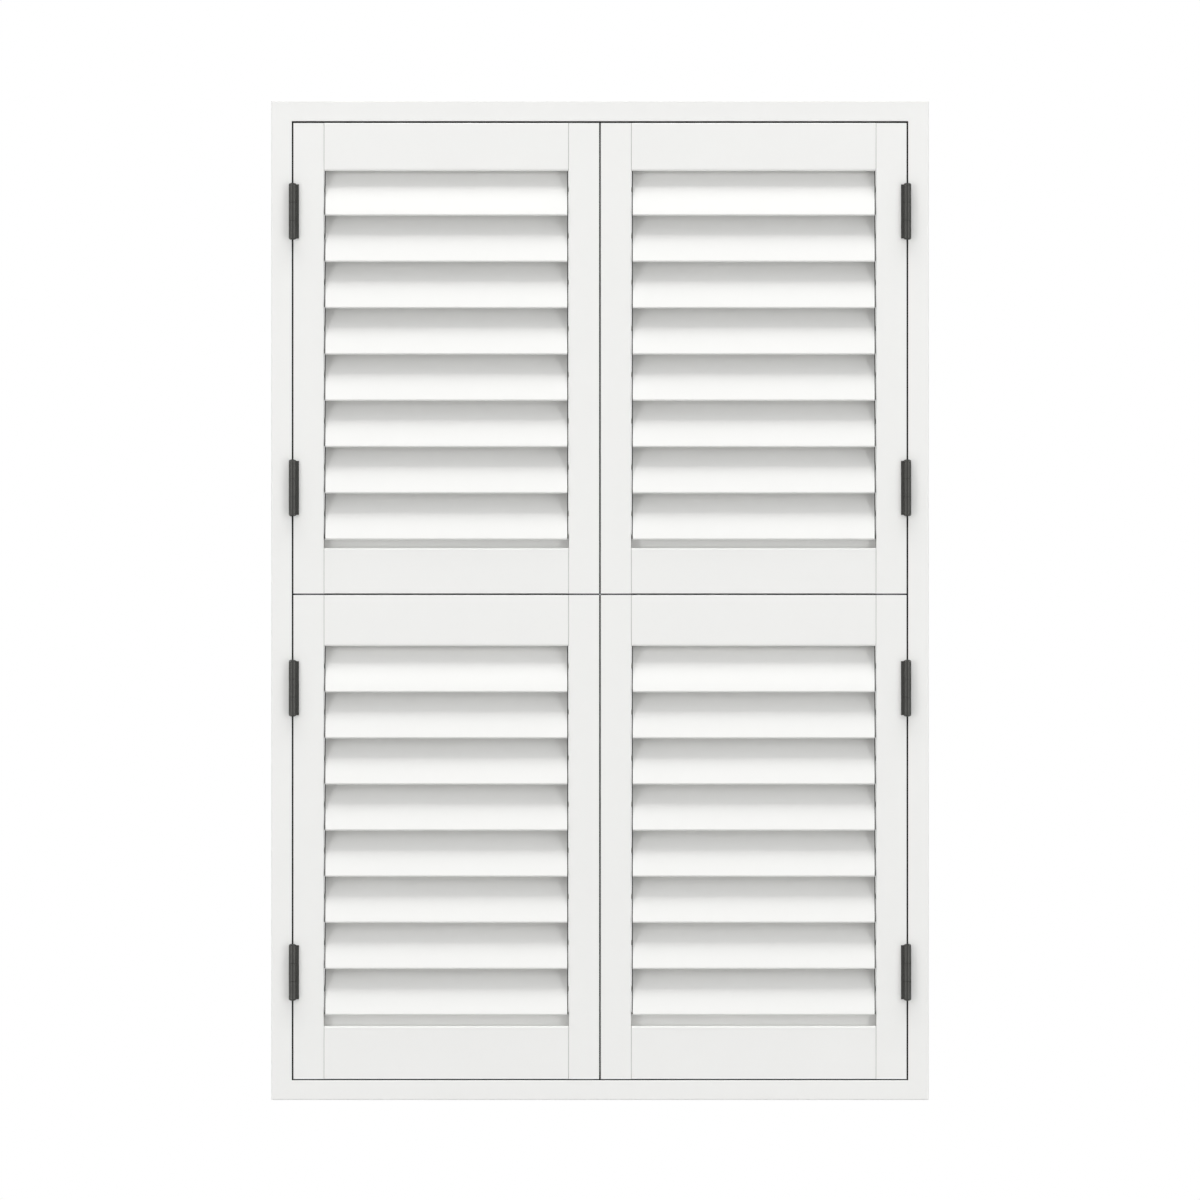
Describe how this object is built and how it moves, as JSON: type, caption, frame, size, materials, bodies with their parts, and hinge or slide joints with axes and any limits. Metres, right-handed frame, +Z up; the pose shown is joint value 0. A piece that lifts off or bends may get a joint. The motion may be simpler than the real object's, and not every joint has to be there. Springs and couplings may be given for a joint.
{
  "type": "louvred shutters",
  "caption": "White tier-on-tier louvred window shutters: paired hinged panels of tilting louvres with hidden rear tilt bars, in a mitred rebated frame.",
  "frame": {"origin": "middle of the frame's flat underside", "axes": "+X along the width to the viewer's right, +Y from the front to the back, +Z up"},
  "size_m": [1.052, 0.0623, 1.6],
  "materials": {
    "painted_wood": "satin white paint",
    "painted_louvre": "satin white paint",
    "dark_hinge_metal": "dark bronze-grey satin",
    "tilt_bar_alloy": "mill",
    "pile_seal": "dense dark pile",
    "magnet_steel": "plated"
  },
  "bodies": {
    "frame": {"frame_head": "painted_wood", "frame_sill": "painted_wood", "frame_left_jamb": "painted_wood", "frame_right_jamb": "painted_wood", "frame_seals": "pile_seal", "frame_hinge_leaves": "dark_hinge_metal", "hinge_pins": "dark_hinge_metal", "catch_magnets": "magnet_steel"},
    "lower_left_panel": {"lower_left_hinge_stile": "painted_wood", "lower_left_meeting_stile": "painted_wood", "lower_left_rails": "painted_wood", "lower_left_hinge_leaves": "dark_hinge_metal"},
    "lower_left_louvre_1": {"lower_left_louvre_1": "painted_louvre"},
    "lower_left_louvre_2": {"lower_left_louvre_2": "painted_louvre"},
    "lower_left_louvre_3": {"lower_left_louvre_3": "painted_louvre"},
    "lower_left_louvre_4": {"lower_left_louvre_4": "painted_louvre"},
    "lower_left_louvre_5": {"lower_left_louvre_5": "painted_louvre"},
    "lower_left_louvre_6": {"lower_left_louvre_6": "painted_louvre"},
    "lower_left_louvre_7": {"lower_left_louvre_7": "painted_louvre"},
    "lower_left_louvre_8": {"lower_left_louvre_8": "painted_louvre"},
    "lower_left_tilt_bar": {"lower_left_tilt_bar": "tilt_bar_alloy"},
    "lower_right_panel": {"lower_right_hinge_stile": "painted_wood", "lower_right_meeting_stile": "painted_wood", "lower_right_rails": "painted_wood", "lower_right_hinge_leaves": "dark_hinge_metal"},
    "lower_right_louvre_1": {"lower_right_louvre_1": "painted_louvre"},
    "lower_right_louvre_2": {"lower_right_louvre_2": "painted_louvre"},
    "lower_right_louvre_3": {"lower_right_louvre_3": "painted_louvre"},
    "lower_right_louvre_4": {"lower_right_louvre_4": "painted_louvre"},
    "lower_right_louvre_5": {"lower_right_louvre_5": "painted_louvre"},
    "lower_right_louvre_6": {"lower_right_louvre_6": "painted_louvre"},
    "lower_right_louvre_7": {"lower_right_louvre_7": "painted_louvre"},
    "lower_right_louvre_8": {"lower_right_louvre_8": "painted_louvre"},
    "lower_right_tilt_bar": {"lower_right_tilt_bar": "tilt_bar_alloy"},
    "upper_left_panel": {"upper_left_hinge_stile": "painted_wood", "upper_left_meeting_stile": "painted_wood", "upper_left_rails": "painted_wood", "upper_left_hinge_leaves": "dark_hinge_metal"},
    "upper_left_louvre_1": {"upper_left_louvre_1": "painted_louvre"},
    "upper_left_louvre_2": {"upper_left_louvre_2": "painted_louvre"},
    "upper_left_louvre_3": {"upper_left_louvre_3": "painted_louvre"},
    "upper_left_louvre_4": {"upper_left_louvre_4": "painted_louvre"},
    "upper_left_louvre_5": {"upper_left_louvre_5": "painted_louvre"},
    "upper_left_louvre_6": {"upper_left_louvre_6": "painted_louvre"},
    "upper_left_louvre_7": {"upper_left_louvre_7": "painted_louvre"},
    "upper_left_louvre_8": {"upper_left_louvre_8": "painted_louvre"},
    "upper_left_tilt_bar": {"upper_left_tilt_bar": "tilt_bar_alloy"},
    "upper_right_panel": {"upper_right_hinge_stile": "painted_wood", "upper_right_meeting_stile": "painted_wood", "upper_right_rails": "painted_wood", "upper_right_hinge_leaves": "dark_hinge_metal"},
    "upper_right_louvre_1": {"upper_right_louvre_1": "painted_louvre"},
    "upper_right_louvre_2": {"upper_right_louvre_2": "painted_louvre"},
    "upper_right_louvre_3": {"upper_right_louvre_3": "painted_louvre"},
    "upper_right_louvre_4": {"upper_right_louvre_4": "painted_louvre"},
    "upper_right_louvre_5": {"upper_right_louvre_5": "painted_louvre"},
    "upper_right_louvre_6": {"upper_right_louvre_6": "painted_louvre"},
    "upper_right_louvre_7": {"upper_right_louvre_7": "painted_louvre"},
    "upper_right_louvre_8": {"upper_right_louvre_8": "painted_louvre"},
    "upper_right_tilt_bar": {"upper_right_tilt_bar": "tilt_bar_alloy"}
  },
  "joints": [
    {"name": "lower_left_swing", "type": "hinge", "parent": "frame", "child": "lower_left_panel", "pos_m": [-0.4918, -0.0313, 0.42075], "axis": [0, 0, -1], "range_deg": [0, 170]},
    {"name": "lower_left_tilt_1", "type": "hinge", "parent": "lower_left_panel", "child": "lower_left_louvre_1", "pos_m": [-0.2459, -0.0115, 0.6944], "axis": [-1, 0, 0], "range_deg": [-8, 88]},
    {"name": "lower_left_tilt_2", "type": "hinge", "parent": "lower_left_panel", "child": "lower_left_louvre_2", "pos_m": [-0.2459, -0.0115, 0.6206], "axis": [-1, 0, 0], "range_deg": [-8, 88]},
    {"name": "lower_left_tilt_3", "type": "hinge", "parent": "lower_left_panel", "child": "lower_left_louvre_3", "pos_m": [-0.2459, -0.0115, 0.5468], "axis": [-1, 0, 0], "range_deg": [-8, 88]},
    {"name": "lower_left_tilt_4", "type": "hinge", "parent": "lower_left_panel", "child": "lower_left_louvre_4", "pos_m": [-0.2459, -0.0115, 0.473], "axis": [-1, 0, 0], "range_deg": [-8, 88]},
    {"name": "lower_left_tilt_5", "type": "hinge", "parent": "lower_left_panel", "child": "lower_left_louvre_5", "pos_m": [-0.2459, -0.0115, 0.3992], "axis": [-1, 0, 0], "range_deg": [-8, 88]},
    {"name": "lower_left_tilt_6", "type": "hinge", "parent": "lower_left_panel", "child": "lower_left_louvre_6", "pos_m": [-0.2459, -0.0115, 0.3254], "axis": [-1, 0, 0], "range_deg": [-8, 88]},
    {"name": "lower_left_tilt_7", "type": "hinge", "parent": "lower_left_panel", "child": "lower_left_louvre_7", "pos_m": [-0.2459, -0.0115, 0.2516], "axis": [-1, 0, 0], "range_deg": [-8, 88]},
    {"name": "lower_left_tilt_8", "type": "hinge", "parent": "lower_left_panel", "child": "lower_left_louvre_8", "pos_m": [-0.2459, -0.0115, 0.1778], "axis": [-1, 0, 0], "range_deg": [-8, 88]},
    {"name": "lower_left_bar_link", "type": "hinge", "parent": "lower_left_louvre_4", "child": "lower_left_tilt_bar", "pos_m": [-0.4044, 0.01397, 0.5196], "axis": [-1, 0, 0], "range_deg": [-88, 8]},
    {"name": "lower_right_swing", "type": "hinge", "parent": "frame", "child": "lower_right_panel", "pos_m": [0.4918, -0.0313, 0.42075], "axis": [0, 0, 1], "range_deg": [0, 170]},
    {"name": "lower_right_tilt_1", "type": "hinge", "parent": "lower_right_panel", "child": "lower_right_louvre_1", "pos_m": [0.2459, -0.0115, 0.6944], "axis": [-1, 0, 0], "range_deg": [-8, 88]},
    {"name": "lower_right_tilt_2", "type": "hinge", "parent": "lower_right_panel", "child": "lower_right_louvre_2", "pos_m": [0.2459, -0.0115, 0.6206], "axis": [-1, 0, 0], "range_deg": [-8, 88]},
    {"name": "lower_right_tilt_3", "type": "hinge", "parent": "lower_right_panel", "child": "lower_right_louvre_3", "pos_m": [0.2459, -0.0115, 0.5468], "axis": [-1, 0, 0], "range_deg": [-8, 88]},
    {"name": "lower_right_tilt_4", "type": "hinge", "parent": "lower_right_panel", "child": "lower_right_louvre_4", "pos_m": [0.2459, -0.0115, 0.473], "axis": [-1, 0, 0], "range_deg": [-8, 88]},
    {"name": "lower_right_tilt_5", "type": "hinge", "parent": "lower_right_panel", "child": "lower_right_louvre_5", "pos_m": [0.2459, -0.0115, 0.3992], "axis": [-1, 0, 0], "range_deg": [-8, 88]},
    {"name": "lower_right_tilt_6", "type": "hinge", "parent": "lower_right_panel", "child": "lower_right_louvre_6", "pos_m": [0.2459, -0.0115, 0.3254], "axis": [-1, 0, 0], "range_deg": [-8, 88]},
    {"name": "lower_right_tilt_7", "type": "hinge", "parent": "lower_right_panel", "child": "lower_right_louvre_7", "pos_m": [0.2459, -0.0115, 0.2516], "axis": [-1, 0, 0], "range_deg": [-8, 88]},
    {"name": "lower_right_tilt_8", "type": "hinge", "parent": "lower_right_panel", "child": "lower_right_louvre_8", "pos_m": [0.2459, -0.0115, 0.1778], "axis": [-1, 0, 0], "range_deg": [-8, 88]},
    {"name": "lower_right_bar_link", "type": "hinge", "parent": "lower_right_louvre_4", "child": "lower_right_tilt_bar", "pos_m": [0.4044, 0.01397, 0.5196], "axis": [-1, 0, 0], "range_deg": [-88, 8]},
    {"name": "upper_left_swing", "type": "hinge", "parent": "frame", "child": "upper_left_panel", "pos_m": [-0.4918, -0.0313, 1.1868], "axis": [0, 0, -1], "range_deg": [0, 170]},
    {"name": "upper_left_tilt_1", "type": "hinge", "parent": "upper_left_panel", "child": "upper_left_louvre_1", "pos_m": [-0.2459, -0.0115, 1.4569], "axis": [-1, 0, 0], "range_deg": [-8, 88]},
    {"name": "upper_left_tilt_2", "type": "hinge", "parent": "upper_left_panel", "child": "upper_left_louvre_2", "pos_m": [-0.2459, -0.0115, 1.38283], "axis": [-1, 0, 0], "range_deg": [-8, 88]},
    {"name": "upper_left_tilt_3", "type": "hinge", "parent": "upper_left_panel", "child": "upper_left_louvre_3", "pos_m": [-0.2459, -0.0115, 1.30876], "axis": [-1, 0, 0], "range_deg": [-8, 88]},
    {"name": "upper_left_tilt_4", "type": "hinge", "parent": "upper_left_panel", "child": "upper_left_louvre_4", "pos_m": [-0.2459, -0.0115, 1.23469], "axis": [-1, 0, 0], "range_deg": [-8, 88]},
    {"name": "upper_left_tilt_5", "type": "hinge", "parent": "upper_left_panel", "child": "upper_left_louvre_5", "pos_m": [-0.2459, -0.0115, 1.16061], "axis": [-1, 0, 0], "range_deg": [-8, 88]},
    {"name": "upper_left_tilt_6", "type": "hinge", "parent": "upper_left_panel", "child": "upper_left_louvre_6", "pos_m": [-0.2459, -0.0115, 1.08654], "axis": [-1, 0, 0], "range_deg": [-8, 88]},
    {"name": "upper_left_tilt_7", "type": "hinge", "parent": "upper_left_panel", "child": "upper_left_louvre_7", "pos_m": [-0.2459, -0.0115, 1.01247], "axis": [-1, 0, 0], "range_deg": [-8, 88]},
    {"name": "upper_left_tilt_8", "type": "hinge", "parent": "upper_left_panel", "child": "upper_left_louvre_8", "pos_m": [-0.2459, -0.0115, 0.9384], "axis": [-1, 0, 0], "range_deg": [-8, 88]},
    {"name": "upper_left_bar_link", "type": "hinge", "parent": "upper_left_louvre_4", "child": "upper_left_tilt_bar", "pos_m": [-0.4044, 0.01397, 1.28128], "axis": [-1, 0, 0], "range_deg": [-88, 8]},
    {"name": "upper_right_swing", "type": "hinge", "parent": "frame", "child": "upper_right_panel", "pos_m": [0.4918, -0.0313, 1.1868], "axis": [0, 0, 1], "range_deg": [0, 170]},
    {"name": "upper_right_tilt_1", "type": "hinge", "parent": "upper_right_panel", "child": "upper_right_louvre_1", "pos_m": [0.2459, -0.0115, 1.4569], "axis": [-1, 0, 0], "range_deg": [-8, 88]},
    {"name": "upper_right_tilt_2", "type": "hinge", "parent": "upper_right_panel", "child": "upper_right_louvre_2", "pos_m": [0.2459, -0.0115, 1.38283], "axis": [-1, 0, 0], "range_deg": [-8, 88]},
    {"name": "upper_right_tilt_3", "type": "hinge", "parent": "upper_right_panel", "child": "upper_right_louvre_3", "pos_m": [0.2459, -0.0115, 1.30876], "axis": [-1, 0, 0], "range_deg": [-8, 88]},
    {"name": "upper_right_tilt_4", "type": "hinge", "parent": "upper_right_panel", "child": "upper_right_louvre_4", "pos_m": [0.2459, -0.0115, 1.23469], "axis": [-1, 0, 0], "range_deg": [-8, 88]},
    {"name": "upper_right_tilt_5", "type": "hinge", "parent": "upper_right_panel", "child": "upper_right_louvre_5", "pos_m": [0.2459, -0.0115, 1.16061], "axis": [-1, 0, 0], "range_deg": [-8, 88]},
    {"name": "upper_right_tilt_6", "type": "hinge", "parent": "upper_right_panel", "child": "upper_right_louvre_6", "pos_m": [0.2459, -0.0115, 1.08654], "axis": [-1, 0, 0], "range_deg": [-8, 88]},
    {"name": "upper_right_tilt_7", "type": "hinge", "parent": "upper_right_panel", "child": "upper_right_louvre_7", "pos_m": [0.2459, -0.0115, 1.01247], "axis": [-1, 0, 0], "range_deg": [-8, 88]},
    {"name": "upper_right_tilt_8", "type": "hinge", "parent": "upper_right_panel", "child": "upper_right_louvre_8", "pos_m": [0.2459, -0.0115, 0.9384], "axis": [-1, 0, 0], "range_deg": [-8, 88]},
    {"name": "upper_right_bar_link", "type": "hinge", "parent": "upper_right_louvre_4", "child": "upper_right_tilt_bar", "pos_m": [0.4044, 0.01397, 1.28128], "axis": [-1, 0, 0], "range_deg": [-88, 8]}
  ],
  "couplings": [
    {"joint": "lower_left_tilt_1", "follows": "lower_left_tilt_4", "ratio": 1},
    {"joint": "lower_left_tilt_2", "follows": "lower_left_tilt_4", "ratio": 1},
    {"joint": "lower_left_tilt_3", "follows": "lower_left_tilt_4", "ratio": 1},
    {"joint": "lower_left_tilt_5", "follows": "lower_left_tilt_4", "ratio": 1},
    {"joint": "lower_left_tilt_6", "follows": "lower_left_tilt_4", "ratio": 1},
    {"joint": "lower_left_tilt_7", "follows": "lower_left_tilt_4", "ratio": 1},
    {"joint": "lower_left_tilt_8", "follows": "lower_left_tilt_4", "ratio": 1},
    {"joint": "lower_left_bar_link", "follows": "lower_left_tilt_4", "ratio": -1},
    {"joint": "lower_right_tilt_1", "follows": "lower_right_tilt_4", "ratio": 1},
    {"joint": "lower_right_tilt_2", "follows": "lower_right_tilt_4", "ratio": 1},
    {"joint": "lower_right_tilt_3", "follows": "lower_right_tilt_4", "ratio": 1},
    {"joint": "lower_right_tilt_5", "follows": "lower_right_tilt_4", "ratio": 1},
    {"joint": "lower_right_tilt_6", "follows": "lower_right_tilt_4", "ratio": 1},
    {"joint": "lower_right_tilt_7", "follows": "lower_right_tilt_4", "ratio": 1},
    {"joint": "lower_right_tilt_8", "follows": "lower_right_tilt_4", "ratio": 1},
    {"joint": "lower_right_bar_link", "follows": "lower_right_tilt_4", "ratio": -1},
    {"joint": "upper_left_tilt_1", "follows": "upper_left_tilt_4", "ratio": 1},
    {"joint": "upper_left_tilt_2", "follows": "upper_left_tilt_4", "ratio": 1},
    {"joint": "upper_left_tilt_3", "follows": "upper_left_tilt_4", "ratio": 1},
    {"joint": "upper_left_tilt_5", "follows": "upper_left_tilt_4", "ratio": 1},
    {"joint": "upper_left_tilt_6", "follows": "upper_left_tilt_4", "ratio": 1},
    {"joint": "upper_left_tilt_7", "follows": "upper_left_tilt_4", "ratio": 1},
    {"joint": "upper_left_tilt_8", "follows": "upper_left_tilt_4", "ratio": 1},
    {"joint": "upper_left_bar_link", "follows": "upper_left_tilt_4", "ratio": -1},
    {"joint": "upper_right_tilt_1", "follows": "upper_right_tilt_4", "ratio": 1},
    {"joint": "upper_right_tilt_2", "follows": "upper_right_tilt_4", "ratio": 1},
    {"joint": "upper_right_tilt_3", "follows": "upper_right_tilt_4", "ratio": 1},
    {"joint": "upper_right_tilt_5", "follows": "upper_right_tilt_4", "ratio": 1},
    {"joint": "upper_right_tilt_6", "follows": "upper_right_tilt_4", "ratio": 1},
    {"joint": "upper_right_tilt_7", "follows": "upper_right_tilt_4", "ratio": 1},
    {"joint": "upper_right_tilt_8", "follows": "upper_right_tilt_4", "ratio": 1},
    {"joint": "upper_right_bar_link", "follows": "upper_right_tilt_4", "ratio": -1}
  ]
}
